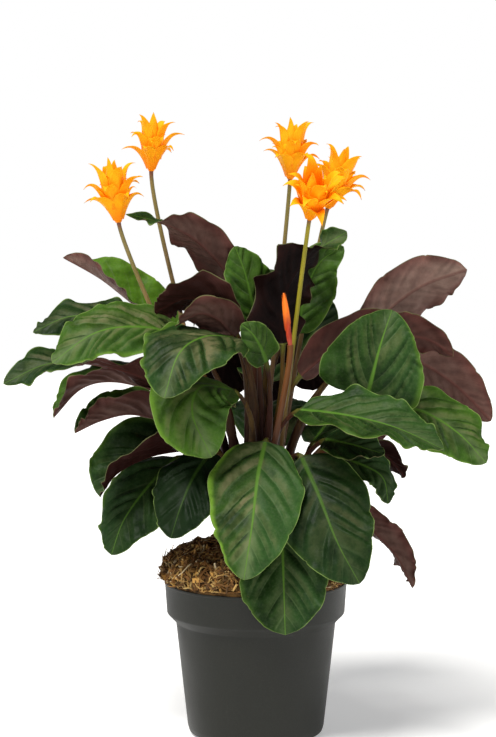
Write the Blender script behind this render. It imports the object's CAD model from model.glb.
"""Looks of the eternal flame calathea in its nursery pot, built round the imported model.

The tables hold millimetres and degrees; MM turns lengths into metres when a mesh is made.
The leaves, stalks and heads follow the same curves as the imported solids, with more points.
"""

import math
from collections import namedtuple

import bpy
import numpy as np
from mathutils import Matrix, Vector, noise


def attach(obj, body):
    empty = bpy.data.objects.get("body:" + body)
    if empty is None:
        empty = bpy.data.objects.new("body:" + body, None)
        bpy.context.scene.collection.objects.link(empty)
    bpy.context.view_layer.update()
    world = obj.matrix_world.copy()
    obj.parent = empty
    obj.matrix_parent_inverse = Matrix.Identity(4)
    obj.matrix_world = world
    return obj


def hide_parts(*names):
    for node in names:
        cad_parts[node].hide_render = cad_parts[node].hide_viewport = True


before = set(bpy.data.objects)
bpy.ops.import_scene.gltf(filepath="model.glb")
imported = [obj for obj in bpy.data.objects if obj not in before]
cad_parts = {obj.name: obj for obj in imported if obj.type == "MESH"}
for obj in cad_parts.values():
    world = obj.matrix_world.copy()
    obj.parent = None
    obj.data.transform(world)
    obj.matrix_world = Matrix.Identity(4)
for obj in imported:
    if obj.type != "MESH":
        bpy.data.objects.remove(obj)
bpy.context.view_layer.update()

MM = 0.001
UP = np.array([0.0, 0.0, 1.0])
FULL_TURN = 2 * math.pi

# ---------------------------------------------------------------- camera
IMAGE_SIZE = (496, 737)
CAMERA_PLACE = (-6.0, -1500.0, 415.0)
CAMERA_TARGET = (-6.0, 0.0, 280.0)
FOCAL_PIXELS = 1985.0
SENSOR = 36.0

# ---------------------------------------------------------------- pot and soil
POT_HEIGHT = 118.0
RIM_RADIUS = 70.0
SKIRT_FOOT_RADIUS = 68.0
SKIRT_FOOT_HEIGHT = 93.5
SHOULDER_RADIUS = 61.2
SHOULDER_HEIGHT = 86.5
FOOT_RADIUS = 52.4
FOOT_FILLET = 5.0
POT_WALL = 1.4
SOIL_GAP = 0.5
SOIL_LUMPS = 2.4
LUMP_SIZE = 13.0
# (radius, height) down the root ball that stands proud of the rim, from its middle to its lip
SOIL_CROWN = ((19.0, 146.5), (37.0, 145.0), (54.0, 141.0), (66.5, 135.0), (71.0, 127.0), (70.6, 120.0))
SOIL_TOP = 147.0

# ---------------------------------------------------------------- stems
STEM_FOOT = SOIL_TOP - 13.0
# every stem is rooted within this distance of the pot's axis
ROOT_REACH = 40.0
STEM_NECK = SOIL_TOP + 3.0
PETIOLE_FOOT_RADIUS = 2.3
PETIOLE_TOP_RADIUS = 1.5
STALK_FOOT_RADIUS = 2.0
STALK_TOP_RADIUS = 1.5

# ---------------------------------------------------------------- leaves
TIP_HALF_WIDTH = 0.8
RING_SPACING = 13.0
FEWEST_RINGS = 5
MOST_RINGS = 10
RINGS_TO_A_RIPPLE = 2.6
DENSE = 64

# spine: the midrib from blade base to tip. face: where the middle of the upper side looks.
# tone: how olive-grey the ridges are, how bright the green is (below 0 darker), how pale the underside is,
# how much plainer and bluer one half is (above 0 the right one of a leaf that hangs towards the front),
# and how gold one margin is (above 0 the left one of such a leaf).
# fold, cup: degrees by which each half rises at the midrib, and further on out to its margin.
# twist: degrees of roll from base to tip. curl: degrees of roll added towards the tip.
# broadest: the share of the length at which the blade is widest. wave: height of the ripples at the margin.
# steep, ragged, pleated: how slanted the side veins, how rough the margin and how high the pleats are,
# beside those of a plain leaf. lobed: how deep the few great lobes of the margin are.
# narrow: how fast the tip runs out, as its half width, in leaf widths, for each share of the length.
PLAIN = (0.4, 0.0, 0.4, 0.3, 0.1)
LEAF_FIELDS = "name spine width face tone fold cup twist curl broadest wave steep ragged lobed pleated narrow"
Leaf = namedtuple("Leaf", LEAF_FIELDS, defaults=(0, 0, 0.42, 2.4, 1, 1, 0, 1, 5.0))
LEAVES = (
    Leaf("front_centre", ((7, -46, 231), (1, -72, 207), (-3, -92, 176), (-9, -104, 138)),
        69, (-0.05, -0.8, 0.5), (1.0, 0.15, 0.3, 0.9, 1.0), 5, -20, broadest=0.42),
    Leaf("front_low", ((17, -44, 190), (19, -64, 160), (20, -78, 128), (21, -86, 94)),
        66, (-0.1, -0.9, 0.3), (0.4, -0.08, 0.3, 0.3, 0.15), 5, -10, broadest=0.6),
    Leaf("front_right", ((33, -49, 220), (45, -72, 195), (58, -89, 163), (74, -98, 134)),
        70, (-0.1, -0.8, 0.45), (0.6, -0.5, 0.3, -0.3, 0.1), 5, -20),
    Leaf("front_left", ((-16, -44, 268), (-40, -62, 272), (-46, -78, 254), (-32, -88, 224)),
        66, (-0.2, -0.8, 0.4), (1.0, 0.6, 0.3, 0.8, 0.5), 5, -20),
    Leaf("left_round", ((-18, -38, 307), (-38, -68, 309), (-55, -95, 299), (-65, -110, 269)),
        74, (-0.3, -0.8, 0.6), (1.1, -0.12, 0.3, -0.3, 0.5), 5, -20),
    Leaf("left_young", ((8, -28, 287), (3, -40, 300), (-3, -46, 310), (-11, -48, 317)),
        28, (0.1, -0.9, 0.3), (0.2, 0.3, 0.3, 0.2, 0.1), 5, -10),
    Leaf("low_left_near", ((-33, -38, 222), (-46, -56, 205), (-55, -68, 185), (-62, -76, 163)),
        58, (-0.3, -0.85, 0.4), (0.2, -0.8, 0.3, 0.5, 0.2), 5, -20),
    Leaf("low_left", ((-60, -14, 214), (-80, -32, 195), (-98, -44, 171), (-107, -50, 146)),
        60, (-0.4, -0.8, 0.4), (0.2, -0.45, 0.3, -0.4, 0.3), 5, -20),
    Leaf("left_folded", ((-50, -18, 221), (-78, -37, 218), (-102, -49, 207), (-115, -54, 190)),
        68, (-0.2, -0.25, 0.9), (0.3, -0.2, 0.12, 0.3, 0.2), 35, 20, ragged=1.8),
    Leaf("left_purple", ((-64, -2, 238), (-93, -8, 246), (-116, -14, 242), (-136, -20, 233)),
        48, (0, 0, 1), (0.3, 0.2, 0.62, 0.3, 0.1), 45, 20, ragged=2.0, pleated=0.6),
    Leaf("left_thin", ((-70, 24, 259), (-108, 22, 268), (-134, 18, 263), (-155, 12, 241)),
        44, (0, 0, 1), (0.4, 0.5, 0.6, 0.3, 0.1), 30, 20, ragged=1.5),
    Leaf("left_long", ((-65, -12, 267), (-107, -26, 283), (-151, -34, 287), (-187, -38, 272)),
        52, (0, -0.05, 1), (0.8, -0.3, 0.4, 0.4, -0.3), 10, 0, 90),
    Leaf("left_broad", ((-50, -28, 306), (-83, -50, 315), (-116, -66, 312), (-147, -76, 291)),
        56, (-0.1, -0.7, 0.7), (1.0, 0.4, 0.3, 0.5, -0.6), 5, -15, steep=1.3),
    Leaf("left_upper", ((-73, 15, 304), (-112, 20, 316), (-143, 22, 318), (-171, 20, 306)),
        46, (-0.1, -0.6, 0.8), (0.8, -0.35, 0.4, 0.3, -0.3), 5, -20),
    Leaf("left_bright", ((-62, 46, 303), (-92, 54, 323), (-121, 58, 345), (-151, 58, 362)),
        52, (0.2, -0.5, 0.8), (0.0, 1.1, 0.75, 0.2, 0.3), 44, 5, 0, -90, 0.4, pleated=0.5),
    Leaf("top_left",
         ((-12, 2, 335), (-28, -2, 360), (-50, -10, 381), (-76, -17, 392), (-97, -20, 397)),
        39, (0.1, 0.75, 0.6), (0.1, 0.1, 0.62, 0.3, 0.1), 10, 10, 0, 160, pleated=0.5, narrow=1.15),
    Leaf("dark_left", ((-17, -20, 314), (-33, -28, 330), (-52, -34, 335), (-75, -38, 325)),
        50, (0.2, 0.7, 0.6), (0.3, 0.0, 0.28, 0.3, 0.1), 8, 5,
        broadest=0.5, wave=4.0, ragged=1.9, lobed=0.14, pleated=0.6),
    Leaf("plum", ((-16, -27, 306), (-28, -43, 320), (-42, -53, 325), (-59, -58, 316)),
        36, (0.1, 0.8, 0.4), (0.6, 0.2, 0.62, 0.3, 0.1), 8, 10, 0, 30, 0.4, 1.6, pleated=0.5),
    Leaf("centre_green", ((0, -6, 312), (-4, -10, 335), (-9, -13, 355), (-16, -14, 373)),
        44, (0.45, -0.9, 0.3), (0.1, 0.42, 0.3, 0.3, 0.2), 5, -10),
    Leaf("dark_tall", ((20, -9, 298), (19, -11, 327), (28, -12, 350), (44, -11, 368), (68, -9, 384)),
        54, (-0.45, 0.9, 0.3), (0.9, 0.15, -0.9, 0.3, 0.2), 8, 5, 0, -190, 0.36, 5.0,
        ragged=2.0, lobed=0.34, pleated=0.6),
    Leaf("top_green", ((31, 12, 305), (37, 16, 335), (49, 17, 360), (67, 16, 372)),
        46, (0.3, -0.9, 0.2), (0.2, 0.42, 0.3, 0.3, 0.3), 25, 0),
    Leaf("back_small", ((34, 30, 292), (50, 40, 313), (59, 46, 329)),
        34, (0.3, -0.8, 0.4), (0.1, -0.7, 0.3, 0.3, 0.0), 10, 0),
    Leaf("plum_arch", ((32, 2, 273), (65, 8, 297), (100, 12, 304), (131, 14, 301), (151, 14, 288)),
        46, (0, 0.8, 0.5), (0.3, 0.1, 0.52, 0.3, 0.1), 10, 10, pleated=0.4),
    Leaf("top_right", ((68, 44, 288), (100, 50, 318), (130, 52, 340), (165, 50, 353)),
        50, (-0.2, 0.9, 0.3), (0.3, 0.1, 1.15, 0.3, 0.1), 5, 10, broadest=0.6, pleated=0.3),
    Leaf("right_plum", ((89, 34, 290), (124, 36, 283), (155, 36, 264), (183, 34, 236)),
        48, (0.2, 0.9, 0.3), (0.3, 0.1, 0.64, 0.3, 0.1), 5, 10, ragged=1.5, pleated=0.4),
    Leaf("right_upright", ((82, -34, 261), (85, -45, 276), (91, -48, 301), (100, -41, 327)),
        78, (-0.1, -0.9, 0.3), (0.45, 0.05, 0.3, -0.4, 0.3), 5, 10, broadest=0.3, steep=1.6),
    Leaf("right_striped", ((31, -50, 254), (64, -76, 253), (99, -92, 246), (133, -98, 231)),
        56, (0, -0.5, 0.87), (0.5, 0.1, 0.3, 0.4, 0.2), 18, -10, steep=1.4),
    Leaf("right_outer", ((97, -12, 252), (124, -24, 250), (150, -34, 235), (171, -38, 213)),
        56, (0.2, -0.8, 0.6), (1.0, 0.45, 0.3, -0.2, 0.3), 5, -20),
    Leaf("right_under", ((51, -33, 230), (71, -50, 228), (94, -58, 222)),
        37, (0, -0.6, 0.8), (0.3, -0.3, 0.3, 0.3, 0.2), 10, 0),
    Leaf("right_small", ((59, -26, 216), (79, -35, 211), (94, -40, 202), (98, -42, 183)),
        32, (0.2, -0.6, 0.7), (0.25, -0.3, 0.3, 0.3, 0.3), 5, -10, ragged=0.4),
    Leaf("right_tiny", ((81, 6, 218), (99, 6, 213), (114, 4, 196)),
        26, (0.4, 0.7, 0.5), (0.3, 0.0, 0.1, 0.3, 0.1), 5, 0),
    Leaf("right_curled", ((71, 14, 173), (91, 10, 153), (108, 4, 135), (120, 0, 111)),
        36, (0.6, 0.6, 0.5), (0.3, 0.3, 0.66, 0.3, 0.1), 20, 20, ragged=2.0, pleated=0.6),
    Leaf("back_high", ((10, 32, 312), (13, 60, 341), (16, 92, 351), (19, 122, 334)),
        58, (0, 0.5, 0.85), PLAIN, 5, -20),
    Leaf("back_upper_left", ((-12, 38, 292), (-17, 56, 298), (-24, 74, 277), (-27, 79, 249)),
        62, (-0.1, 0.75, 0.65), (0.5, 0.1, -0.2, 0.4, 0.2), 5, -15, broadest=0.58),
    Leaf("back_middle", ((9, 36, 266), (10, 48, 278), (11, 58, 270), (11, 62, 248)),
        50, (0, 0.75, 0.65), (0.6, 0.0, -0.2, 0.4, 0.2), 5, -15),
    Leaf("back_upper_right", ((24, 42, 302), (35, 60, 306), (42, 76, 284), (46, 82, 255)),
        64, (0.1, 0.75, 0.65), (0.6, 0.0, -0.2, -0.4, 0.2), 5, -15, broadest=0.58),
    Leaf("back_left", ((-34, 42, 222), (-53, 73, 240), (-68, 108, 232), (-77, 136, 202)),
        60, (-0.2, 0.6, 0.8), PLAIN, 5, -20),
    Leaf("back_centre", ((12, 44, 212), (12, 76, 243), (12, 112, 240), (8, 142, 204)),
        66, (0, 0.7, 0.7), (0.8, -0.1, 0.2, 0.3, 0.2), 5, -20),
    Leaf("back_right", ((44, 40, 218), (67, 72, 240), (87, 108, 234), (101, 136, 206)),
        60, (0.2, 0.6, 0.8), PLAIN, 5, -20),
    Leaf("back_low_left", ((-16, 40, 196), (-24, 66, 198), (-32, 90, 182), (-37, 106, 154)),
        52, (-0.2, 0.7, 0.7), PLAIN, 5, -20),
    Leaf("back_low_right", ((28, 38, 198), (40, 64, 203), (48, 90, 190), (52, 108, 162)),
        54, (0.2, 0.7, 0.7), PLAIN, 5, -20),
)

# ---------------------------------------------------------------- blooms
# root: where the stalk stands. foot: where the stalk ends and the bloom sits.
# top: where the bloom's axis points. turn: degrees round that axis. size: against the sizes below.
Bloom = namedtuple("Bloom", "name root foot top turn size")
BLOOMS = (
    Bloom("left_low", (-9, -7), (-102, -24, 391), (-107, -27, 431), 10, 1.03),
    Bloom("left_high", (-18, 5), (-79, 4, 429), (-77, 3, 467), 40, 0.93),
    Bloom("right_high", (2, 8), (26, 16, 423), (28, 15, 462), 20, 1.0),
    Bloom("right_front", (13, -16), (39, -44, 394), (43, -66, 421), 0, 1.06),
    Bloom("right_back", (12, 7), (55, 26, 401), (68, 24, 442), 30, 1.08),
)
BUD_ROOT = (0, -24)
BUD_FOOT = (25, -50, 301)
BUD_TIP = (20, -52, 340)
BUD_RADII = (1.6, 2.3, 2.6, 2.4, 1.9, 0.8)
FUNNEL = (
    (0, 35.0), (4.5, 34.5), (8.0, 31.0), (9.6, 25.0), (9.0, 18.0),
    (7.2, 11.0), (4.4, 4.0), (2.1, 0.0), (0, 0),
)
# (bracts, first angle, height on the funnel, reach and height it bends towards, of its tip, width)
WHORLS = (
    (5, 0, 6.0, 13.0, 25.0, 23.0, 18.5, 11.5),
    (5, 34, 14.0, 13.0, 34.0, 23.5, 28.5, 11.5),
    (4, 17, 22.0, 9.0, 41.0, 18.5, 43.0, 10.0),
    (2, 44, 26.0, 2.0, 38.0, 5.0, 47.0, 8.0),
)
# degrees, and how far its tip, by which each bract stands off its even place
BRACT_SWAY = 5.0
TIP_SHIFT = 2.4


# ---------------------------------------------------------------- how fine the pieces are
STEM_RINGS = 16
STALK_RINGS = 40
STALK_SIDES = 20
BLADE_RINGS = 100
HALF_BLADE_COLUMNS = 15
COLUMN_CROWDING = 1.3
BLADE_THICKNESS = 0.5
FINE_TIP = 0.18
POT_SIDES = 144
DRAIN_HOLES = 6
DRAIN_RADIUS = 4.0
DRAIN_CIRCLE = 34.0
DRAIN_SIDES = 24
DRAIN_DEPTH = 9.0

# ---------------------------------------------------------------- the leaves' relief
VEIN_SPACING = 15.0
BROAD_LEAF = 74.0
# millimetres a side vein runs forward for each one outwards, at the blade's base and at its tip
VEIN_SLANT = (0.5, 1.45)
VEIN_BEND = 0.3
PLEAT_HEIGHT = 3.9
BLISTER_HEIGHT = 0.5
MARGIN_TEETH = 0.02
MARGIN_CRIMP = 1.5
LOBE_TURN = 15.7
RIB_HEIGHT = 1.2
RIB_WIDTH = 1.15
GROOVE_DEPTH = 0.45
COLLAR = 0.035
PULVINUS_LENGTH = 11.0
PULVINUS_SWELL = 0.3
SHEATH_RADIUS = 3.5
# share of the stem at which its sheath starts to narrow, and at which it has run out
SHEATH_SPAN = (0.45, 0.85)

# ---------------------------------------------------------------- heads and bud
BRACT_RINGS = 18
HALF_BRACT_COLUMNS = 5
BRACT_THICKNESS = 0.55
BRACT_HOLLOW = 0.55
BRACT_SEAT = 4.0
BRACT_CRINKLE = 0.4
INNER_BRACTS = 9
GOLDEN_TURN = 2.4
# how far a stalk's visible end runs into its head
STALK_SEAT = 0.8
STALK_SIDE = (0.3, 1.0, 0.1)
SHEATH_HOLLOW = 0.62
FUNNEL_RINGS = 30
# where the funnel's outside ends, and (radius, height) down into the cup within
FUNNEL_LIP = 27.0
FUNNEL_CUP = [(8.0, 26.0), (6.0, 20.0), (3.0, 15.0), (0.05, 13.0)]
FUNNEL_TURN = 48
# (share of the bud's length it starts at, share it ends at, angle, width) of each sheath round the bud
BUD_SHEATHS = ((0.0, 0.58, 200, 4.2), (0.1, 0.8, 20, 4.0), (0.3, 0.97, 110, 3.4), (0.42, 1.0, 290, 2.8))

# ---------------------------------------------------------------- soil
SOIL_RINGS = 76
SOIL_TURN = 200
SOIL_FINE = ((5.0, 1.1), (2.1, 0.7))
FIBRES = 2600
FIBRE_POINTS = 6
CHUNKS = 1500
STRAYS = 60
FIBRE_TAPER = np.array([0.5, 0.95, 1.0, 1.0, 0.8, 0.35])
# how far it is, about, over the crown from its middle to its lip
CROWN_REACH = 82.0


def unit(v):
    return v / np.linalg.norm(v, axis=-1, keepdims=True)


def turns(count):
    """Evenly spaced angles round a full turn, as a column."""
    return np.linspace(0, FULL_TURN, count, endpoint=False)[:, None]


def smooth_step(low, high, value):
    share = np.clip((value - low) / (high - low), 0, 1)
    return share * share * (3 - 2 * share)


# ---------------------------------------------------------------- curves
def smooth_line(points, count):
    """count points, evenly spaced, on a smooth curve through the given ones."""
    p = np.array(points, float)
    p = np.vstack([2 * p[0] - p[1], p, 2 * p[-1] - p[-2]])
    spans = []
    for a, b, c, d in zip(p, p[1:], p[2:], p[3:]):
        t = np.linspace(0, 1, 24, endpoint=False)[:, None]
        square, cube = 2 * a - 5 * b + 4 * c - d, 3 * b - a - 3 * c + d
        spans.append(0.5 * (2 * b + (c - a) * t + square * t**2 + cube * t**3))
    line = np.vstack([*spans, p[-2]])
    reached = np.concatenate([[0], np.cumsum(np.linalg.norm(np.diff(line, axis=0), axis=1))])
    return between(np.linspace(0, 1, count) * reached[-1], reached, line)


def between(wanted, known, table):
    """Rows of a table at the wanted values, between those known for its rows."""
    return np.stack([np.interp(wanted, known, column) for column in table.T], axis=1)


def line_length(line):
    return np.linalg.norm(np.diff(line, axis=0), axis=1).sum()


def stem_line(root, end, arrival, rise=0.42, run=0.34):
    """A stem's line: straight up out of the soil, then bending over to arrive at its end."""
    neck = np.array([root[0], root[1], STEM_NECK])
    reach = np.linalg.norm(end - neck)
    handles = (neck, neck + UP * rise * reach, end - arrival * run * reach, end)
    t = np.linspace(0, 1, DENSE)[:, None]
    weights = ((1 - t) ** 3, 3 * t * (1 - t) ** 2, 3 * t**2 * (1 - t), t**3)
    return sum(w * h for w, h in zip(weights, handles))


def carried_normals(line, start, normal):
    """The normal given at one point of the line, carried along it with no roll of its own."""
    tangents = unit(np.gradient(line, axis=0))
    normals = np.zeros_like(line)
    for way in (range(start, len(line)), range(start, -1, -1)):
        here = np.array(normal, float)
        for i in way:
            here = unit(here - (here @ tangents[i]) * tangents[i])
            normals[i] = here
    return tangents, normals


def stem_stations(root, stem, tangents, normals, rings):
    """A stem's line with its foot in the soil, the ways at its rings, and their shares of its length."""
    picks = np.linspace(0, DENSE - 1, rings).round().astype(int)
    line = np.vstack([[root[0], root[1], STEM_FOOT], stem[picks]])
    ways = [np.vstack([table[0], table[picks]]) for table in (tangents, normals)]
    return line, *ways, np.concatenate([[0], picks / (DENSE - 1)])


def root_of(name):
    """Where a leaf's stem stands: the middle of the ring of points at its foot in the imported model."""
    points = np.array([vertex.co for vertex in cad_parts[name].data.vertices]) / MM
    at_foot = (np.abs(points[:, 2] - STEM_FOOT) < 0.05) & (np.hypot(*points[:, :2].T) < ROOT_REACH)
    return np.unique(points[at_foot].round(3), axis=0).mean(axis=0)[:2]


# ---------------------------------------------------------------- meshes
def add_object(name, data, looks_along=None):
    obj = bpy.data.objects.new(name, data)
    bpy.context.scene.collection.objects.link(obj)
    if looks_along is not None:
        obj.rotation_euler = Vector(looks_along).to_track_quat("-Z", "Y").to_euler()
    return obj


class Shape:
    """Points, faces and shader values of one piece, gathered part by part, in millimetres."""

    def __init__(self):
        self.points, self.faces, self.slots = [], [], []
        self.fields = {}
        self.count = 0

    def add(self, points, faces, slots=0, **fields):
        points = np.reshape(points, (-1, 3))
        self.points.append(points)
        self.faces += [[i + self.count for i in face] for face in faces]
        self.slots += slots if isinstance(slots, list) else [slots] * len(faces)
        for name, values in fields.items():
            values = np.broadcast_to(np.reshape(values, (-1, 3)), points.shape)
            self.fields.setdefault(name, []).append(values)
        self.count += len(points)

    def close(self, rings, along=0.0, **fields):
        """Adds a part closed round its rings, its faces outwards. along: the first value of its place."""
        place = np.zeros(rings.shape)
        place[..., 0] = along
        self.add(rings, facing_out(rings, ring_faces(*rings.shape[:2])), place=place, **fields)

    def mesh(self, name):
        mesh = bpy.data.meshes.new(name)
        mesh.from_pydata((np.vstack(self.points) * MM).tolist(), [], self.faces)
        return mesh

    def piece(self, node, materials, sharp=50):
        mesh = self.mesh(node + "_fine")
        mesh.polygons.foreach_set("material_index", self.slots)
        for field, values in self.fields.items():
            stored = mesh.attributes.new(field, "FLOAT_VECTOR", "POINT")
            stored.data.foreach_set("vector", np.vstack(values).astype(np.float32).ravel())
        for each in materials:
            mesh.materials.append(each)
        mesh.validate()
        mesh.shade_smooth()
        mesh.set_sharp_from_angle(angle=math.radians(sharp))
        obj = add_object(node + "_fine", mesh)
        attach(obj, "root")
        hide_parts(node)
        return obj


def caps(rings, around):
    return [list(range(around))[::-1], [(rings - 1) * around + c for c in range(around)]]


def ring_faces(rings, around):
    """Quads between rings of points that run anticlockwise about the line, and a cap at each end."""
    faces = []
    for start in range(0, (rings - 1) * around, around):
        for a in range(start, start + around):
            b = start + (a + 1 - start) % around
            faces.append([a, b, b + around, a + around])
    return faces + caps(rings, around)


def leaf_faces(rings, columns):
    """Triangles round a leaf's rings: its upper columns, then its lower ones backwards, and the caps.

    Both faces are split alike, so that they can't cross, and along the side veins.
    """
    around = 2 * columns
    faces = []
    for r in range(rings - 1):
        for c in range(around):
            a, b = r * around + c, r * around + (c + 1) % around
            upper = c < columns
            column = c if upper else around - 2 - c
            if (column >= columns // 2) == upper:
                faces += [[a, b, b + around], [a, b + around, a + around]]
            else:
                faces += [[a, b, a + around], [b, b + around, a + around]]
    return faces + caps(rings, around)


def facing_out(rings, faces):
    """The faces, turned round if the closed shape they make is inside out."""
    points = rings.reshape(-1, 3)
    quads = np.array([face for face in faces if len(face) == 4])
    a, b, c, d = (points[quads[:, i]] for i in range(4))
    volume = np.einsum("ij,ij->", a, np.cross(b, c)) + np.einsum("ij,ij->", a, np.cross(c, d))
    return [face[::-1] for face in faces] if volume < 0 else faces


def round_rings(line, radii, sides, tangents, normals):
    turn = turns(sides)
    out = np.cos(turn) * normals[:, None] + np.sin(turn) * np.cross(tangents, normals)[:, None]
    return line[:, None] + np.reshape(radii, (len(line), -1, 1)) * out


def turned(profile, sides):
    """Rings made by turning a profile of radii and heights about the upright axis."""
    turn = turns(sides)[:, 0]
    radii, heights = np.array(profile, float).T[..., None]
    return np.stack(np.broadcast_arrays(radii * np.cos(turn), radii * np.sin(turn), heights), axis=-1)


# ---------------------------------------------------------------- leaves
def half_widths(t, width, broadest):
    """Half the blade's width: a rounded base and a short point."""
    outline = np.sin(np.pi * np.clip(t, 0, 1) ** (math.log(0.5) / math.log(broadest))) ** 0.6
    return np.maximum(0.5 * width * outline, TIP_HALF_WIDTH)


def cross_section(across, half_width, fold, cup):
    """Offsets sideways and up, and the slope, of the blade's middle layer at a share of its half width."""
    f = math.radians(fold)
    c = math.radians(cup if abs(cup) > 0.5 else 0.5)
    slope = f + c * np.abs(across)
    sideways = half_width / c * (np.sin(slope) - math.sin(f)) * np.sign(across)
    upward = half_width / c * (math.cos(f) - np.cos(slope))
    return sideways, upward, slope


def vein_phase(share_along, across, leaf, length, number):
    """Counts the side veins: whole numbers lie on a vein, which leaves the midrib and bends forward.

    share_along: 0 at the blade's base and 1 at its tip. across: millimetres from its midrib.
    """
    out = np.abs(across)
    slant = VEIN_SLANT[0] + (VEIN_SLANT[1] - VEIN_SLANT[0]) * share_along
    slant = slant * leaf.steep
    origin = share_along * length - slant * out - VEIN_BEND * out**2 / (0.5 * leaf.width)
    stagger = np.where(across < 0, 0.0, 0.45)
    wander = 0.34 * np.sin(0.075 * origin + 1.7 * number + 5.0 * stagger)
    wander = wander + 0.16 * np.sin(0.19 * origin + number + 8.0 * stagger)
    spacing = VEIN_SPACING * (0.4 + 0.6 * leaf.width / BROAD_LEAF)
    return origin / spacing + stagger + wander + 0.37 * number


def fine_blade(leaf, number, t, q, spine, tangents, normals):
    """Upper and lower points of the blade by ring and column, and the values its looks read."""
    length = line_length(spine)
    dense = np.linspace(0, 1, DENSE)
    centre, tangent, normal = (between(t, dense, table) for table in (spine, tangents, normals))
    normal = unit(normal)
    side = unit(np.cross(unit(tangent), normal))
    roll = leaf.twist * (t - 0.5) + leaf.curl * np.clip((t - 0.5) / 0.5, 0, 1) ** 2
    roll = np.radians(roll)[:, None]
    side, normal = side * np.cos(roll) + normal * np.sin(roll), normal * np.cos(roll) - side * np.sin(roll)
    side, normal = side[:, None], normal[:, None]

    # its margin, with teeth, notches and lobes
    rows, columns = t[:, None], q[None, :]
    share = np.abs(columns)
    taper_off = leaf.narrow * leaf.width
    outline = np.minimum(half_widths(t, leaf.width, leaf.broadest), FINE_TIP + taper_off * (1 - t))[:, None]
    edge = outline * (np.sign(columns) + (columns == 0))
    edge_phase = vein_phase(rows, edge, leaf, length, number)
    teeth = 0.7 * np.sin(2.0 * edge_phase + number) + 0.5 * np.sin(3.7 * edge_phase + 2.3 * number)
    teeth = teeth + 0.3 * (leaf.ragged - 1) * np.sin(6.3 * edge_phase + number)
    notch = np.exp(-((np.sin(0.36 * np.pi * edge_phase + 0.8 * number) / 0.12) ** 2))
    lobes = 0.3 - np.abs(np.sin(LOBE_TURN * rows + np.where(columns < 0, 0.9, 0.0))) ** 0.9
    lobes = leaf.lobed * lobes
    fine = smooth_step(0.02, 0.2, rows) * smooth_step(1.0, 0.93, rows)
    width = outline * (1 + (MARGIN_TEETH * leaf.ragged * (teeth - 1.5 * notch) + lobes) * fine)
    sideways, upward, slope = cross_section(columns, width, leaf.fold, leaf.cup)
    upright = np.cos(slope)[..., None] * normal - (np.sign(columns) * np.sin(slope))[..., None] * side

    # its relief: long ripples, pleats between the veins, blisters and a crimped margin
    waves = min(max(round(length / RING_SPACING), FEWEST_RINGS), MOST_RINGS) / RINGS_TO_A_RIPPLE
    ripple = np.sin(FULL_TURN * waves * rows + 2.4 * number + np.where(columns < 0, 1.3, 0.0))
    relief = leaf.wave * share**2 * ripple * np.sin(np.pi * np.clip(rows, 0, 1)) ** 0.5
    phase = vein_phase(rows, width * columns, leaf, length, number)
    ridge = np.sqrt(np.sin(np.pi * phase) ** 2 + 0.03) * (0.8 + 0.3 * np.sin(2.3 * phase + number)) - 0.55
    swell = smooth_step(0.03, 0.28, share) * (1 - 0.6 * share**3) * smooth_step(0.0, 0.12, rows)
    pleat = PLEAT_HEIGHT * leaf.pleated * (0.45 + 0.55 * leaf.width / BROAD_LEAF)
    relief = relief + pleat * ridge * swell * (1 - 0.7 * rows**4)
    blister = np.sin(0.43 * rows * length + 0.2 * share * width + number)
    blister = blister * np.sin(0.36 * width * columns + 1.1 * number)
    relief = relief + BLISTER_HEIGHT * blister * smooth_step(0.1, 0.4, share) * fine
    crimp = np.sin(2.2 * edge_phase + 0.9 * number) + 0.6 * np.sin(4.1 * edge_phase)
    crimp = crimp + 0.6 * (leaf.ragged - 1) * np.sin(7.3 * edge_phase)
    relief = relief + MARGIN_CRIMP * share**5 * crimp * fine

    across = np.abs(sideways)
    rib = np.exp(-((across / RIB_WIDTH) ** 2))
    taper = np.clip(1 - rows, 0, 1)
    half = 0.5 * BLADE_THICKNESS * (1 - 0.45 * share**6)
    middle = centre[:, None] + sideways[..., None] * side + upward[..., None] * normal
    middle = middle + relief[..., None] * upright
    upper = middle + (half - GROOVE_DEPTH * rib * taper)[..., None] * upright
    lower = middle - (half + RIB_HEIGHT * rib * taper**0.8 + 0.02)[..., None] * upright
    place = np.stack(np.broadcast_arrays(rows, share, phase), axis=-1)
    measure = np.stack(np.broadcast_arrays(across, width * (1 - share), columns), axis=-1)
    return upper, lower, place, measure


def both_faces(upper, lower):
    """Rings that run over the upper face and back along the lower one."""
    return np.concatenate([upper, lower[:, ::-1]], axis=1)


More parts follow.
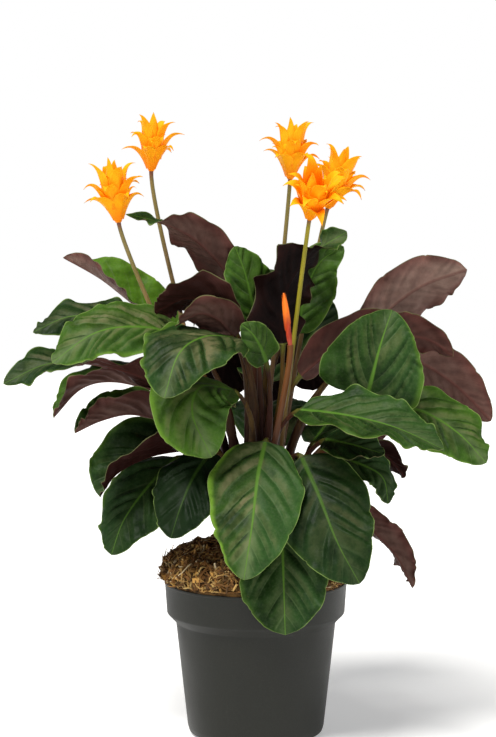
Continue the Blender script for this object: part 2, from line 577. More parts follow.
def leaf_piece(leaf, number, materials):
    node = "leaf_" + leaf.name
    root = root_of(node)
    u = np.linspace(-1, 1, 2 * HALF_BLADE_COLUMNS + 1)
    q = np.sign(u) * np.abs(u) ** COLUMN_CROWDING
    v = np.linspace(0, 1, BLADE_RINGS)
    t = 0.6 * v + 0.4 * 0.5 * (1 - np.cos(np.pi * v))
    spine = smooth_line(leaf.spine, DENSE)
    ways = carried_normals(spine, DENSE // 2, leaf.face)
    upper, lower, place, measure = fine_blade(leaf, number, t, q, spine, *ways)

    stem = stem_line(root, spine[0], unit(unit(spine[2] - spine[0]) + 0.6 * UP))
    stem_ways = carried_normals(stem, DENSE - 1, ways[1][0])
    line, tangents, normals, along = stem_stations(root, stem, *stem_ways, STEM_RINGS)
    slender = PETIOLE_FOOT_RADIUS - 0.2 + (PETIOLE_TOP_RADIUS - PETIOLE_FOOT_RADIUS + 0.2) * along
    to_go = (1 - along) * line_length(stem)
    swollen = 1 + PULVINUS_SWELL * smooth_step(PULVINUS_LENGTH, 0.35 * PULVINUS_LENGTH, to_go)
    sheath = smooth_step(0.02, 0.15, along) * smooth_step(SHEATH_SPAN[1], SHEATH_SPAN[0], along)
    radii = np.maximum(slender * swollen, slender + (SHEATH_RADIUS - slender) * sheath)[:, None, None]
    columns = len(q)
    angles = np.radians(np.linspace(180 - 90 / columns, 90 / columns, columns))[:, None]
    sideways = np.cos(angles) * unit(np.cross(tangents, normals))[:, None]
    upward = np.sin(angles) * normals[:, None]
    stem_rings = line[:, None] + radii * both_faces(sideways + upward, sideways - upward)

    # the blade grows out of a collar round the stem's end
    grown = smooth_step(0, COLLAR, t)[:, None, None]
    collar = stem_rings[-1] - line[-1] + 0.5 * (upper + lower)[:, columns // 2][:, None]
    blade_rings = collar * (1 - grown) + both_faces(upper, lower) * grown
    rings = np.concatenate([stem_rings[:-1], blade_rings])
    count, around = rings.shape[:2]
    stem_count = len(stem_rings) - 1
    on_collar = int(np.searchsorted(t, 0.4 * COLLAR))
    slots = [2] * 2 * around * (stem_count + on_collar)
    slots += ([0] * 2 * (columns - 1) + [1] * 2 * (columns + 1)) * (count - 1 - stem_count - on_collar)
    shade = (0.618 * number) % 1.0
    stem_place = np.zeros((stem_count, around, 3))
    stem_place[..., 0] = along[:-1, None]
    place, measure = both_faces(place, place), both_faces(measure, measure)
    place[: on_collar + 1, :, 0] = 1.0
    place = np.concatenate([stem_place, place])
    place[: stem_count + on_collar + 1, :, 2] = shade
    measure = np.concatenate([0 * stem_place, measure])
    grey, bright, pale, lean, gold = leaf.tone
    tones = {"tone": (grey, bright, pale), "flank": (lean, gold, 0)}
    shape = Shape()
    shape.add(rings, leaf_faces(count, columns), slots + [2, 1], place=place, measure=measure, **tones)
    return shape.piece(node, materials, sharp=70)


# ---------------------------------------------------------------- stalks
def stalk_piece(node, root, foot, top, materials, warmth=1.0, young=0.0):
    """The stalk of a head or bud that sits at foot and points to top."""
    foot = np.array(foot, float)
    upright = unit(top - foot)
    stem = stem_line(root, foot + STALK_SEAT * upright, upright, 0.12, 0.12)
    ways = carried_normals(stem, 0, STALK_SIDE)
    line, tangents, normals, along = stem_stations(root, stem, *ways, STALK_RINGS)
    radii = STALK_FOOT_RADIUS - 0.1 + (STALK_TOP_RADIUS - STALK_FOOT_RADIUS + 0.1) * along
    radii = radii * (1 + 0.12 * smooth_step(0.96, 1.0, along))
    radii = radii * (1 + 0.45 * young * smooth_step(0.1, 0.4, along))
    ribs = 1 + 0.03 * np.cos(6 * turns(STALK_SIDES)[:, 0])
    rings = round_rings(line, radii[:, None] * ribs, STALK_SIDES, tangents, normals)
    shape = Shape()
    shape.close(rings, along[:, None], tone=(warmth, young, 0))
    return shape.piece(node, materials)


# ---------------------------------------------------------------- heads and bud
def funnel_radius(height):
    radii, heights = zip(*FUNNEL[::-1])
    return float(np.interp(height, heights, radii))


def bract_bend(bend_reach, bend_height, reach, height, count):
    """Reach and height of the bract's bend and of its tip, each bract a little off the even place."""
    out, up = TIP_SHIFT * math.sin(1.7 * count), TIP_SHIFT * math.cos(2.3 * count)
    return (bend_reach, bend_height + 0.5 * up), (reach + out, height + up)


def bract_outline(t):
    """Share of the bract's width: full at a third, then running out to a long point."""
    rise = 0.62 + 0.38 * np.sin(np.pi / 2 * np.clip(t / 0.38, 0, 1))
    fall = np.clip(1 - np.clip((t - 0.38) / 0.62, 0, 1) ** 1.1, 0, 1)
    return np.maximum(rise * fall, 0.03)


def add_bract(shape, path, inward, wide, hollow, number, tone):
    """A pointed, boat-shaped bract along a path. inward: where its hollow side looks, by ring."""
    tangents = unit(np.gradient(path, axis=0))
    sideways = unit(np.cross(tangents, inward))
    hollow_way = unit(np.cross(sideways, tangents))[:, None]
    u = np.linspace(-1, 1, 2 * HALF_BRACT_COLUMNS + 1)
    t = np.linspace(0, 1, len(path))[:, None]
    width = 0.5 * wide * bract_outline(t)
    crinkle = np.sin(9 * t + 2.1 * number + 1.5 * np.sign(u)) * np.sin(np.pi * t)
    lift = (hollow * width + BRACT_CRINKLE * crinkle) * u**2
    fold = 0.12 * width * np.exp(-((u / 0.22) ** 2))
    middle = path[:, None] + (width * u)[..., None] * sideways[:, None]
    middle = middle + (lift - fold)[..., None] * hollow_way
    half = 0.5 * BRACT_THICKNESS * (1 - 0.5 * np.abs(u) ** 4)
    half = (half * np.minimum(1, width / 1.2))[..., None] * hollow_way
    shape.close(both_faces(middle + half, middle - half), t, tone=tone)


def add_head_bract(shape, angle, seat, bend, tip, wide, number):
    """One bract from its seat on the funnel over its bend to its tip, each a reach and a height."""
    t = np.linspace(0, 1, BRACT_RINGS)[:, None]
    radial = np.array([math.cos(angle), math.sin(angle), 0.0])
    base = (funnel_radius(seat) * 0.98 + 0.2) * radial + seat * UP
    knee = (bend[0] - 1.0) * radial + bend[1] * UP
    end = tip[0] * radial + tip[1] * UP
    # the tip hooks over a little more on some bracts than on others
    hook = 1.5 + 1.5 * math.sin(1.9 * number)
    path = (1 - t) ** 2 * base + 2 * t * (1 - t) * knee + t**2 * end - hook * t**6 * UP
    inward = UP * (0.3 + 2 * t) - radial * (1.3 - t)
    hollow = BRACT_HOLLOW * (1 - 0.75 * t) + 0.05
    add_bract(shape, path, inward, wide, hollow, number, (0, 0.5 + 0.5 * math.sin(2.7 * number), 0))


def head_piece(bloom, materials):
    shape = Shape()
    heights = np.linspace(0, 35.0, FUNNEL_RINGS)
    outside = [(max(funnel_radius(h), 0.05) * 0.97, h) for h in heights if h <= FUNNEL_LIP]
    rings = turned(outside + FUNNEL_CUP, FUNNEL_TURN)
    shape.close(rings, rings[..., 2] / 70, tone=(0, 0.5, 0))
    number = 0
    for count, first, start, *form, wide in WHORLS:
        for i in range(count):
            sway = BRACT_SWAY * math.sin(2.4 * number + bloom.turn)
            angle = math.radians(bloom.turn + first + 360 * i / count + sway)
            bend, tip = bract_bend(*form, number + bloom.turn)
            wide_here = wide * (1.04 + 0.06 * math.sin(3.1 * number))
            add_head_bract(shape, angle, max(start - BRACT_SEAT, 1.5), bend, tip, wide_here, number)
            number += 1
    for i in range(INNER_BRACTS):
        rise = i / (INNER_BRACTS - 1)
        bend = (12.5 - 8 * rise, 24 + 10 * rise)
        tip = (15.5 - 7 * rise + 2 * math.sin(2.0 * i), 24.5 + 11 * rise + 2 * math.cos(1.7 * i))
        angle = GOLDEN_TURN * i + bloom.turn
        add_head_bract(shape, angle, 9 + 13 * rise, bend, tip, 7.0 - 1.5 * rise, number)
        number += 1
    foot = np.array(bloom.foot, float)
    upright = unit(bloom.top - foot)
    leaning = np.array(Vector(UP).rotation_difference(Vector(upright)).to_matrix())
    shape.points = [foot + bloom.size * points @ leaning.T for points in shape.points]
    return shape.piece("bloom_" + bloom.name, materials)


def bud_radius(share):
    return np.interp(share, np.linspace(0, 1, len(BUD_RADII)), BUD_RADII)


def bud_piece(materials):
    foot = np.array(BUD_FOOT, float)
    way = BUD_TIP - foot
    stations = np.linspace(0, 1, 34)
    line = foot + stations[:, None] * way
    tangents, normals = carried_normals(line, 0, STALK_SIDE)
    rings = round_rings(line, np.maximum(0.8 * bud_radius(stations), 0.1), 24, tangents, normals)
    shape = Shape()
    shape.close(rings, tone=(0.5, 0, 0))
    first, second = normals[0], np.cross(unit(way), normals[0])
    t = np.linspace(0, 1, BRACT_RINGS)[:, None]
    for number, (start, end, degrees, width) in enumerate(BUD_SHEATHS):
        angle = math.radians(degrees)
        outward = math.cos(angle) * first + math.sin(angle) * second
        share = start + (end - start) * t
        path = foot + share * way + (bud_radius(share) * 0.85 + 0.6 * t**3) * outward
        add_bract(shape, path, -outward, width, SHEATH_HOLLOW, number, (0.3 * number, 0, 0))
    return shape.piece("bud", materials)


# ---------------------------------------------------------------- pot
def rounded(corner_points, radius, steps=4):
    """The corners of a profile, each replaced by a short round of its own."""
    p = np.array(corner_points, float)
    out = [p[0]]
    for before, here, after in zip(p, p[1:], p[2:]):
        to_before, to_after = before - here, after - here
        reach = min(radius, 0.45 * np.linalg.norm(to_before), 0.45 * np.linalg.norm(to_after))
        start, end = here + unit(to_before) * reach, here + unit(to_after) * reach
        for i in range(steps + 1):
            s = i / steps
            out.append((1 - s) ** 2 * start + 2 * s * (1 - s) * here + s**2 * end)
    return [*out, p[-1]]


def pot_piece(materials):
    """The pot: up its outside, over its rim and down its inside to below the soil."""
    wall = 1.3
    corners = [
        (0.0, 2.2), (FOOT_RADIUS - 12, 2.2), (FOOT_RADIUS - 10.5, 0.0), (FOOT_RADIUS - FOOT_FILLET, 0.0),
        (FOOT_RADIUS - 1.2, 1.8), (FOOT_RADIUS, FOOT_FILLET + 1), (SHOULDER_RADIUS, SHOULDER_HEIGHT),
        (SKIRT_FOOT_RADIUS, SKIRT_FOOT_HEIGHT), (RIM_RADIUS - 0.5, POT_HEIGHT - 2.2),
        (RIM_RADIUS, POT_HEIGHT - 1.8), (RIM_RADIUS, POT_HEIGHT), (RIM_RADIUS - wall, POT_HEIGHT),
        (SKIRT_FOOT_RADIUS - wall, SKIRT_FOOT_HEIGHT), (SHOULDER_RADIUS - wall, SHOULDER_HEIGHT),
        (SHOULDER_RADIUS - wall - 1.0, SHOULDER_HEIGHT - 16), (0.0, SHOULDER_HEIGHT - 16),
    ]
    profile = rounded(corners, 0.9)
    dense = [profile[0]]
    for a, b in zip(profile, profile[1:]):
        steps = max(1, int(np.linalg.norm(b - a) / 6))
        dense += [a + (b - a) * (i + 1) / steps for i in range(steps)]
    dense = np.array(dense)
    dense[[0, -1], 0] = max(dense[1][0] * 0.02, 0.05)
    rings = turned(dense, POT_SIDES)
    shape = Shape()
    shape.close(rings, rings[..., 2] / POT_HEIGHT)
    pot = shape.piece("pot", materials, sharp=60)

    # its drain holes are cut up into its base
    drills = Shape()
    for angle in FULL_TURN * (np.arange(DRAIN_HOLES) + 0.5) / DRAIN_HOLES:
        middle = (DRAIN_CIRCLE * math.cos(angle), DRAIN_CIRCLE * math.sin(angle), 0.0)
        drill = turned([(DRAIN_RADIUS, -1.0), (DRAIN_RADIUS, DRAIN_DEPTH)], DRAIN_SIDES)
        drills.add(drill + middle, ring_faces(2, DRAIN_SIDES))
    drills = add_object("drills", drills.mesh("drills"))
    cut = pot.modifiers.new("drain_holes", "BOOLEAN")
    cut.operation = "DIFFERENCE"
    cut.object = drills
    pot_mesh = bpy.data.meshes.new_from_object(pot.evaluated_get(bpy.context.evaluated_depsgraph_get()))
    pot.modifiers.clear()
    pot.data = pot_mesh
    bpy.data.objects.remove(drills)


# ---------------------------------------------------------------- soil
CROWN_LINE = smooth_line([(0.0, SOIL_TOP, 0.0), *[(r, h, 0.0) for r, h in SOIL_CROWN]], 120)
CROWN_SHARES = np.linspace(0, 1, len(CROWN_LINE))


def soil_profile(share):
    """Radius and height at a share of the way from the middle of the crown to its lip."""
    return [float(np.interp(share, CROWN_SHARES, CROWN_LINE[:, i])) for i in (0, 1)]


def roughened(point):
    """A point of the smooth crown, moved by the lumps and crumbs of the root ball."""
    here = Vector(point)
    flat = SOIL_CROWN[-1][1] + 1 > here.z
    moved = here + noise.noise_vector(here / LUMP_SIZE) * SOIL_LUMPS * (0.3 if flat else 1.0)
    for size, height in SOIL_FINE:
        moved += noise.noise_vector(here / size) * height
    moved.z = max(moved.z, POT_HEIGHT - 3)
    return moved


def crown_point(share, angle, lift=0.0):
    radius, height = soil_profile(share)
    near_radius, near_height = soil_profile(min(share + 0.01, 1.0) - 0.005)
    far_radius, far_height = soil_profile(min(share + 0.02, 1.0))
    slope = math.atan2(near_height - far_height, max(far_radius - near_radius, 1e-6))
    out = np.array([math.sin(slope) * math.cos(angle), math.sin(slope) * math.sin(angle), math.cos(slope)])
    return np.array(roughened((radius * math.cos(angle), radius * math.sin(angle), height))) + lift * out


def soil_piece(materials):
    rng = np.random.default_rng(11)
    shape = Shape()
    crown = turned([soil_profile(share) for share in np.linspace(0.004, 1, SOIL_RINGS)], SOIL_TURN)
    crown = np.array([[roughened(point) for point in ring] for ring in crown])
    inner = RIM_RADIUS - POT_WALL - SOIL_GAP
    skirt = [(inner, POT_HEIGHT - 2), (inner - 1, POT_HEIGHT - 12), (inner - 8, POT_HEIGHT - 14)]
    shape.close(np.concatenate([crown, turned(skirt, SOIL_TURN)]), tone=(0, 0, 0))

    faces = ring_faces(FIBRE_POINTS, 3)
    for number in range(FIBRES):
        stray = number < STRAYS
        share = 0.9 + 0.08 * rng.random() if stray else math.sqrt(rng.random()) * 0.985
        angle = rng.random() * FULL_TURN
        step = rng.uniform(*((10, 24) if stray else (7, 26))) / (FIBRE_POINTS - 1)
        radius = rng.uniform(0.22, 0.8)
        heading = rng.random() * FULL_TURN
        bend = rng.normal(0, 0.35)
        lift = rng.uniform(0.1, 1.6)
        line = []
        for i in range(FIBRE_POINTS):
            rise = lift + (0.9 * i * i * 0.25 if stray else 0.7 * math.sin(1.3 * i + number))
            line.append(crown_point(min(max(share, 0.01), 0.99), angle, rise))
            across = soil_profile(share)[0]
            share += step * math.cos(heading) / CROWN_REACH
            angle += step * math.sin(heading) / max(across, 8.0)
            heading += bend
        line = np.array(line)
        ways = carried_normals(line, 0, (0.31, 0.22, 0.9))
        tone = (rng.random(), rng.random(), 0)
        shape.add(round_rings(line, radius * FIBRE_TAPER, 3, *ways), faces, 1, place=(0, 0, 0), tone=tone)

    corners = np.array([(x, y, z) for z in (-1, 1) for x, y in ((-1, -1), (1, -1), (1, 1), (-1, 1))], float)
    box = [[0, 3, 2, 1], [4, 5, 6, 7], [0, 1, 5, 4], [1, 2, 6, 5], [2, 3, 7, 6], [3, 0, 4, 7]]
    for _ in range(CHUNKS):
        share, angle = math.sqrt(rng.random()) * 0.97, rng.random() * FULL_TURN
        centre = crown_point(share, angle, rng.uniform(0.0, 0.8))
        size = np.array([rng.uniform(1.2, 4.8), rng.uniform(0.8, 2.2), rng.uniform(0.5, 1.2)])
        spin = np.linalg.qr(rng.normal(size=(3, 3)))[0]
        jitter = 1 + 0.35 * rng.normal(size=(8, 1)).clip(-1, 1)
        points = centre + (corners * jitter * size * 0.8) @ spin
        tone = (rng.random() ** 2, rng.random(), 0)
        shape.add(points, facing_out(points, box), 1, place=(0, 0, 0), tone=tone)
    return shape.piece("soil", materials, sharp=45)


# ---------------------------------------------------------------- shaders
class Look:
    """A material's nodes, made by short calls. Values are sockets or plain numbers."""

    def __init__(self, name):
        self.material = bpy.data.materials.new(name)
        self.material.use_nodes = True
        self.nodes = self.material.node_tree.nodes
        self.links = self.material.node_tree.links
        self.shader = self.nodes["Principled BSDF"]
        self.coordinates = self.nodes.new("ShaderNodeTexCoord").outputs["Object"]

    def put(self, socket, value):
        if isinstance(value, bpy.types.NodeSocket):
            self.links.new(value, socket)
        else:
            socket.default_value = (*value, 1.0) if isinstance(value, tuple) else value

    def split(self, vector):
        node = self.nodes.new("ShaderNodeSeparateXYZ")
        self.links.new(vector, node.inputs[0])
        return node.outputs

    def field(self, name):
        node = self.nodes.new("ShaderNodeAttribute")
        node.attribute_name = name
        return self.split(node.outputs["Vector"])

    def math(self, operation, a, b=0.0, clamp=False):
        node = self.nodes.new("ShaderNodeMath")
        node.operation = operation
        node.use_clamp = clamp
        self.put(node.inputs[0], a)
        self.put(node.inputs[1], b)
        return node.outputs[0]

    def times(self, product, *factors):
        for factor in factors:
            product = self.math("MULTIPLY", product, factor)
        return product

    def step(self, value, low, high, start=0.0, end=1.0):
        """A smooth change from start to end, as the value goes from low to high."""
        node = self.nodes.new("ShaderNodeMapRange")
        node.interpolation_type = "SMOOTHSTEP"
        for socket, number in zip(node.inputs, (value, low, high, start, end)):
            self.put(socket, number)
        return node.outputs[0]

    def mix(self, share, a, b):
        node = self.nodes.new("ShaderNodeMix")
        node.data_type = "RGBA"
        self.put(node.inputs["Factor"], share)
        self.put(node.inputs[6], a)
        self.put(node.inputs[7], b)
        return node.outputs[2]

    def start(self, share, a, b):
        self.colour = self.mix(share, a, b)

    def coat(self, colour, share):
        """Lays a colour over those laid before it, as thick as its share."""
        self.colour = self.mix(share, self.colour, colour)

    def tint(self, colour, value, low, high, most=1.0):
        """Lays a colour over the others, from none of it at the low value to the most at the high one."""
        self.coat(colour, self.step(value, low, high, 0.0, most))

    def noise(self, size_mm, detail=3.0, roughness=0.55, drawn_out=None):
        """Clouds of this size. drawn_out: how much finer or longer they run upwards."""
        node = self.nodes.new("ShaderNodeTexNoise")
        node.inputs["Scale"].default_value = 1.0 / (size_mm * MM)
        node.inputs["Detail"].default_value = detail
        node.inputs["Roughness"].default_value = roughness
        vector = self.coordinates
        if drawn_out:
            mapping = self.nodes.new("ShaderNodeMapping")
            mapping.inputs["Scale"].default_value = (1.0, 1.0, drawn_out)
            self.links.new(vector, mapping.inputs["Vector"])
            vector = mapping.outputs["Vector"]
        self.links.new(vector, node.inputs["Vector"])
        return node.outputs["Fac"]

    def wave(self, phase, times=1.0):
        """0 on each whole number of the phase and 1 half way between."""
        cosine = self.math("COSINE", self.times(phase, FULL_TURN * times))
        return self.math("ADD", self.times(cosine, -0.5), 0.5)

    def bump(self, height, distance_mm, strength):
        node = self.nodes.new("ShaderNodeBump")
        node.inputs["Strength"].default_value = strength
        node.inputs["Distance"].default_value = distance_mm * MM
        self.put(node.inputs["Height"], height)
        self.links.new(node.outputs[0], self.shader.inputs["Normal"])

    def glow(self, colour, strength):
        self.put(self.shader.inputs["Emission Color"], colour)
        self.put(self.shader.inputs["Emission Strength"], strength)

    def finish(self, specular, *roughness):
        """Ends the look. roughness: a value, its low and high ends, and how rough it is at each."""
        self.put(self.shader.inputs["Base Color"], self.colour)
        self.put(self.shader.inputs["Roughness"], self.step(*roughness))
        self.put(self.shader.inputs["Specular IOR Level"], specular)
        return self.material


DEEP_GREEN = (0.0024, 0.0090, 0.0020)
LEAF_GREEN = (0.0100, 0.0320, 0.0050)
RICH_GREEN = (0.0190, 0.0560, 0.0080)
BLUE_GREEN = (0.0180, 0.0560, 0.0170)
FRESH_GREEN = (0.075, 0.175, 0.0090)
OLIVE_GREY = (0.148, 0.138, 0.066)
SILVER_GREEN = (0.120, 0.165, 0.070)
MIDRIB_GREEN = (0.085, 0.190, 0.022)
MARGIN_GREEN = (0.17, 0.25, 0.065)
GOLD_GREEN = (0.130, 0.250, 0.022)
PLUM_BLACK = (0.0030, 0.0009, 0.0008)
PLUM_DARK = (0.0130, 0.0034, 0.0026)
PLUM_MID = (0.062, 0.023, 0.018)
PLUM_PALE = (0.205, 0.120, 0.098)
PLUM_RIB = (0.105, 0.030, 0.024)
PLUM_BLOOM = (0.270, 0.190, 0.150)
PLUM_MARGIN = (0.14, 0.15, 0.06)


def leaf_top_look():
    look = Look("leaf_top")
    t, share, phase = look.field("place")
    from_rib, to_margin, across = look.field("measure")
    grey, bright, _ = look.field("tone")
    lean, gold, _ = look.field("flank")
    patch = look.noise(24.0)
    blot = look.noise(8.0, 4.0, 0.6)
    mottle = look.noise(1.7, 3.0, 0.6)
    # how far a point lies in the half that is plainer and bluer
    plain = look.times(look.step(look.times(across, lean), 0.0, -0.12), look.math("ABSOLUTE", lean))
    banded = look.math("SUBTRACT", 1.0, look.times(plain, 0.7))
    banded = look.times(banded, look.step(bright, 1.0, 0.3, 0.1, 1.0), look.step(t, 1.0, 0.7, 0.2, 1.0))
    # each panel between two veins is dark just past the first vein and palest before the next
    wavering = look.math("ADD", phase, look.times(look.math("SUBTRACT", blot, 0.5), 0.5))
    rise = look.math("FRACT", wavering)
    lit = look.times(look.step(rise, 0.3, 0.75), look.step(rise, 1.0, 0.92))
    # and no two panels are equally marked
    panel = look.math("SINE", look.times(look.math("FLOOR", wavering), 2.4))
    marked = look.times(banded, look.step(panel, -1.0, 1.0, 0.45, 1.0), look.step(grey, 0.0, 0.8, 0.55, 1.0))
    look.start(look.step(patch, 0.3, 0.7), LEAF_GREEN, RICH_GREEN)
    look.coat(BLUE_GREEN, plain)
    look.coat(FRESH_GREEN, look.math("MULTIPLY", bright, 0.85, True))
    greyed = look.times(grey, lit, look.step(share, 0.98, 0.55), marked)
    greyed = look.times(greyed, look.step(patch, 0.32, 0.6, 0.35, 1.0), look.step(blot, 0.3, 0.6, 0.5, 1.0))
    look.coat(OLIVE_GREY, greyed)
    look.coat(SILVER_GREEN, look.times(look.step(from_rib, 8.0, 1.0), look.step(t, 0.3, 0.85), grey, 0.55))
    furrow = look.times(look.step(rise, 0.55, 0.15), look.step(rise, 0.0, 0.08, 0.3, 1.0), marked)
    furrow = look.times(furrow, look.step(share, 0.98, 0.5), look.step(share, 0.02, 0.16))
    look.coat(DEEP_GREEN, look.times(furrow, look.step(blot, 0.35, 0.58, 0.2, 1.0)))
    # the veins themselves are thin and pale, and plainest where the bands are weak
    vein = look.step(look.wave(phase), 0.03, 0.0, 0.0, 0.3)
    look.coat(SILVER_GREEN, look.times(vein, look.step(share, 0.95, 0.4)))
    fine = look.wave(phase, 9.0)
    look.coat(FRESH_GREEN, look.times(fine, 0.035))
    look.tint(SILVER_GREEN, mottle, 0.4, 0.8, 0.2)
    look.tint(DEEP_GREEN, blot, 0.55, 0.25, 0.35)
    look.tint(DEEP_GREEN, patch, 0.5, 0.3, 0.45)
    look.tint(FRESH_GREEN, share, 0.86, 1.0, 0.14)
    golden = look.step(look.times(across, look.math("SIGN", gold)), 0.84, 0.98)
    golden = look.times(golden, look.math("ABSOLUTE", gold), look.step(blot, 0.25, 0.55, 0.4, 1.0))
    look.coat(GOLD_GREEN, golden)
    dim = look.math("MULTIPLY", bright, -1.1, True)
    look.coat(DEEP_GREEN, dim)
    on_rib = look.step(look.math("DIVIDE", from_rib, look.step(t, 0.0, 1.0, 1.9, 0.3)), 1.25, 0.35, 0.0, 0.9)
    look.coat(MIDRIB_GREEN, look.times(on_rib, look.step(dim, 0.9, 0.0, 0.25, 1.0)))
    look.tint(MARGIN_GREEN, to_margin, 0.8, 0.2, 0.8)
    relief = look.math("ADD", look.times(fine, 0.15), look.times(mottle, 0.9))
    look.bump(look.math("ADD", relief, look.times(blot, 2.0)), 0.25, 0.9)
    return look.finish(0.09, patch, 0.3, 0.7, 0.42, 0.55)


def leaf_underside_look():
    look = Look("leaf_underside")
    _, share, phase = look.field("place")
    from_rib, to_margin, _ = look.field("measure")
    _, _, pale = look.field("tone")
    patch = look.noise(22.0)
    cloud = look.noise(9.0)
    mottle = look.noise(2.5)
    fine = look.wave(phase, 6.0)
    look.start(look.step(pale, -0.5, 0.1), PLUM_BLACK, PLUM_DARK)
    look.tint(PLUM_MID, pale, 0.1, 0.5)
    look.tint(PLUM_PALE, pale, 0.45, 1.0)
    # a brown-grey bloom lies on the middle of the pale ones, and their margins stay wine red
    bloomed = look.times(look.step(share, 0.85, 0.3), look.step(patch, 0.35, 0.6, 0.2, 1.0))
    look.coat(PLUM_BLOOM, look.times(bloomed, look.step(pale, 0.4, 1.0, 0.0, 0.55)))
    look.coat(PLUM_RIB, look.times(look.step(share, 0.5, 1.0), look.step(pale, 0.2, 0.7, 0.1, 0.6)))
    shade = look.times(look.step(look.wave(phase), 1.0, 0.0), look.step(cloud, 0.35, 0.6, 0.05, 0.45))
    look.coat(look.mix(0.6, look.colour, PLUM_DARK), shade)
    ribbed = look.step(pale, -0.2, 0.6, 0.05, 1.0)
    look.coat(PLUM_RIB, look.times(fine, 0.08, ribbed))
    look.tint(PLUM_DARK, mottle, 0.3, 0.8, 0.15)
    look.coat(PLUM_RIB, look.times(look.step(from_rib, 1.9, 0.6, 0.0, 0.45), ribbed))
    look.tint(PLUM_MARGIN, to_margin, 0.7, 0.2, 0.7)
    look.bump(look.math("ADD", look.times(fine, 0.3), look.times(mottle, 0.6)), 0.2, 0.7)
    return look.finish(0.08, patch, 0.3, 0.7, 0.5, 0.64)


def petiole_look():
    look = Look("petiole")
    along, _, shade = look.field("place")
    streak = look.noise(3.2, 4.0, 0.6, 0.12)
    low = look.mix(look.step(shade, 0.15, 0.85), (0.030, 0.0065, 0.0050), (0.040, 0.0105, 0.0040))
    high = look.mix(look.step(shade, 0.2, 0.8), (0.050, 0.0130, 0.0050), (0.080, 0.042, 0.0040))
    look.start(look.step(along, 0.3, 0.8), low, high)
    look.tint((0.020, 0.006, 0.005), streak, 0.35, 0.75)
    look.tint((0.060, 0.038, 0.006), look.noise(14.0), 0.4, 0.8, 0.35)
    look.tint((0.085, 0.110, 0.012), along, 0.93, 1.0, 0.6)
    look.tint((0.030, 0.011, 0.008), along, 0.12, 0.0, 0.6)
    look.bump(streak, 0.25, 0.6)
    return look.finish(0.16, streak, 0.3, 0.8, 0.46, 0.6)


def stalk_look():
    look = Look("stalk")
    along, _, _ = look.field("place")
    warmth, young, _ = look.field("tone")
    streak = look.noise(3.0, 4.0, 0.6, 0.1)
    streaked = look.step(streak, 0.3, 0.7)
    olive = look.mix(streaked, (0.16, 0.135, 0.030), (0.235, 0.175, 0.060))
    tan = look.mix(streaked, (0.25, 0.155, 0.050), (0.33, 0.20, 0.080))
    green = look.mix(streaked, (0.21, 0.19, 0.008), (0.30, 0.25, 0.016))
    look.start(warmth, green, look.mix(look.step(along, 0.86, 0.6), olive, tan))
    look.tint((0.19, 0.060, 0.040), along, 0.93, 0.985, 0.85)
    look.tint((0.070, 0.026, 0.012), along, 0.68, 0.38, 0.85)
    # the young stalk is orange-brown up to its bud and dark below
    fresh = look.mix(look.step(along, 0.35, 0.9), (0.040, 0.013, 0.007), (0.145, 0.050, 0.008))
    look.coat(look.mix(look.step(streak, 0.4, 0.8, 0.0, 0.5), fresh, (0.12, 0.035, 0.010)), young)
    look.bump(streak, 0.2, 0.6)
    return look.finish(0.25, streak, 0.3, 0.8, 0.42, 0.55)


def bract_look():
    look = Look("bract")
    along, _, _ = look.field("place")
    _, pale, _ = look.field("tone")
    streak = look.noise(2.2, 3.0, 0.55, 0.35)
    patch = look.noise(9.0)
    look.start(look.step(patch, 0.3, 0.7), (0.93, 0.30, 0.004), (0.98, 0.42, 0.006))
    look.coat((1.0, 0.50, 0.012), look.times(pale, 0.45))
    look.tint((0.90, 0.19, 0.004), along, 0.35, 0.0, 0.7)
    look.tint((0.88, 0.20, 0.004), streak, 0.45, 0.75, 0.22)
    look.tint((0.30, 0.13, 0.025), along, 0.93, 1.0, 0.75)
    look.bump(streak, 0.3, 0.6)
    # a little of the light that falls on a bract's far side shows through it
    look.glow((1.0, 0.30, 0.0), 0.09)
    return look.finish(0.08, patch, 0.3, 0.7, 0.5, 0.62)


def bud_look():
    look = Look("bud")
    layer, _, _ = look.field("tone")
    streak = look.noise(2.4, 3.0, 0.55, 0.3)
    up = look.step(look.split(look.coordinates)["Z"], BUD_FOOT[2] * MM, BUD_TIP[2] * MM)
    look.start(look.step(streak, 0.3, 0.7), (0.30, 0.020, 0.008), (0.46, 0.045, 0.010))
    look.tint((0.86, 0.20, 0.012), up, 0.3, 0.8)
    look.coat((0.90, 0.16, 0.010), look.times(layer, 0.35))
    look.tint((0.50, 0.040, 0.010), streak, 0.5, 0.8, 0.5)
    look.tint((0.42, 0.08, 0.05), up, 0.08, 0.0, 0.6)
    look.bump(streak, 0.3, 0.7)
    return look.finish(0.3, streak, 0.3, 0.7, 0.4, 0.55)


def pot_look():
    look = Look("pot_plastic")
    height, _, _ = look.field("place")
    grain = look.noise(0.9, 4.0, 0.6)
    cloud = look.noise(38.0)
    shoulder, skirt = SHOULDER_HEIGHT / POT_HEIGHT, SKIRT_FOOT_HEIGHT / POT_HEIGHT
    look.start(look.step(cloud, 0.3, 0.7), (0.0072, 0.0078, 0.0052), (0.0100, 0.0106, 0.0074))
    look.tint((0.032, 0.033, 0.028), grain, 0.4, 0.8, 0.25)
    look.tint((0.06, 0.06, 0.05), look.noise(7.0, 5.0, 0.7, 0.4), 0.62, 0.8, 0.15)
    look.tint((0.07, 0.06, 0.045), height, 0.95, 1.0, 0.25)
    shade = look.times(look.step(height, shoulder - 0.012, shoulder), look.step(height, skirt + 0.012, skirt))
    look.coat((0.0020, 0.0021, 0.0015), look.times(shade, 0.6))
    look.bump(grain, 0.12, 0.5)
    return look.finish(0.28, cloud, 0.3, 0.7, 0.44, 0.56)


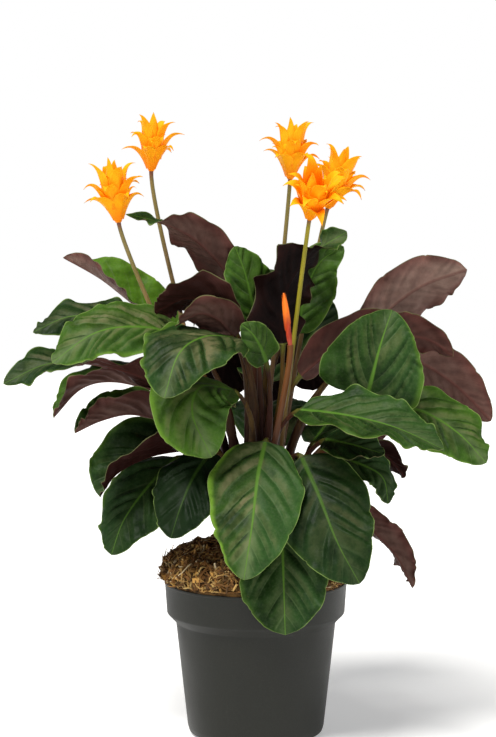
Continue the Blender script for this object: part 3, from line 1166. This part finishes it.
def soil_look():
    look = Look("peat")
    crumb = look.noise(1.6, 5.0, 0.7)
    look.start(look.step(look.noise(8.0), 0.35, 0.7), (0.016, 0.007, 0.002), (0.095, 0.045, 0.010))
    look.tint((0.21, 0.115, 0.034), crumb, 0.5, 0.8)
    look.bump(crumb, 0.9, 0.9)
    return look.finish(0.2, crumb, 0.3, 0.8, 0.85, 0.97)


def fibre_look():
    look = Look("coir_fibre")
    pale, warm, _ = look.field("tone")
    crumb = look.noise(1.0, 4.0, 0.65)
    dark = look.mix(warm, (0.060, 0.030, 0.008), (0.20, 0.085, 0.016))
    light = look.mix(warm, (0.60, 0.42, 0.14), (0.54, 0.27, 0.055))
    look.start(look.step(pale, 0.35, 0.95), dark, light)
    look.tint((0.62, 0.50, 0.30), pale, 0.90, 0.97)
    look.tint((0.05, 0.02, 0.009), crumb, 0.4, 0.8, 0.5)
    look.bump(crumb, 0.3, 0.7)
    return look.finish(0.3, crumb, 0.3, 0.8, 0.7, 0.9)


def floor_look():
    look = Look("studio_floor")
    clouded = look.noise(160.0)
    look.start(look.step(clouded, 0.3, 0.7), (0.90, 0.90, 0.90), (0.91, 0.91, 0.91))
    look.glow((1.0, 1.0, 1.0), FLOOR_GLOW)
    return look.finish(0.2, clouded, 0.3, 0.7, 0.75, 0.8)


# ---------------------------------------------------------------- stage
FLOOR_RADIUS = 3000.0
FLOOR_GLOW = 0.3
# the studio's walls are white up to the first height of the sky's direction, and fade to its ceiling
HORIZON_BAND = (0.11, 0.26)
CEILING_LIGHT = 0.16
# (name, where it stands as seen from the plant, degrees across, strength, colour)
LIGHTS = (
    ("key", (-0.5, -0.7, 1.35), 26, 3.9, (1.0, 0.985, 0.95)),
    ("fill", (0.9, -0.7, 0.55), 60, 0.45, (0.92, 0.97, 1.0)),
)


def set_stage():
    scene = bpy.context.scene
    scene.view_settings.view_transform = "Standard"
    scene.world = bpy.data.worlds.new("studio")
    scene.world.use_nodes = True
    nodes, links = scene.world.node_tree.nodes, scene.world.node_tree.links
    split = nodes.new("ShaderNodeSeparateXYZ")
    links.new(nodes.new("ShaderNodeTexCoord").outputs["Generated"], split.inputs[0])
    fade = nodes.new("ShaderNodeMapRange")
    fade.interpolation_type = "SMOOTHSTEP"
    links.new(split.outputs["Z"], fade.inputs["Value"])
    for socket, number in zip(fade.inputs[1:5], (*HORIZON_BAND, 1.0, CEILING_LIGHT)):
        socket.default_value = number
    links.new(fade.outputs[0], nodes["Background"].inputs["Strength"])
    nodes["Background"].inputs["Color"].default_value = (1.0, 1.0, 1.0, 1.0)

    mesh = bpy.data.meshes.new("studio_floor")
    rim = turned([(FLOOR_RADIUS, -0.2)], 96)[0] * MM
    mesh.from_pydata(rim.tolist(), [], [list(range(len(rim)))])
    mesh.materials.append(floor_look())
    add_object("studio_floor", mesh)
    for name, place, across, strength, colour in LIGHTS:
        light = bpy.data.lights.new(name, "SUN")
        light.angle = math.radians(across)
        light.energy = strength
        light.color = colour
        add_object(name, light, -Vector(place))
    lens = bpy.data.cameras.new("camera")
    lens.sensor_width = SENSOR
    lens.lens = FOCAL_PIXELS * SENSOR / max(IMAGE_SIZE)
    scene.camera = add_object("camera", lens, Vector(CAMERA_TARGET) - Vector(CAMERA_PLACE))
    scene.camera.location = Vector(CAMERA_PLACE) * MM


# ---------------------------------------------------------------- the plant
stalk, bract = [stalk_look()], [bract_look()]
for bloom in BLOOMS:
    warmth = 0.0 if bloom.name == "right_front" else 1.0
    stalk_piece("stalk_" + bloom.name, bloom.root, bloom.foot, bloom.top, stalk, warmth)
    head_piece(bloom, bract)
stalk_piece("stalk_bud", BUD_ROOT, BUD_FOOT, BUD_TIP, stalk, young=1.0)
bud_piece([bud_look()])
leaf_looks = [leaf_top_look(), leaf_underside_look(), petiole_look()]
for number, leaf in enumerate(LEAVES):
    leaf_piece(leaf, number, leaf_looks)
pot_piece([pot_look()])
soil_piece([soil_look(), fibre_look()])
set_stage()
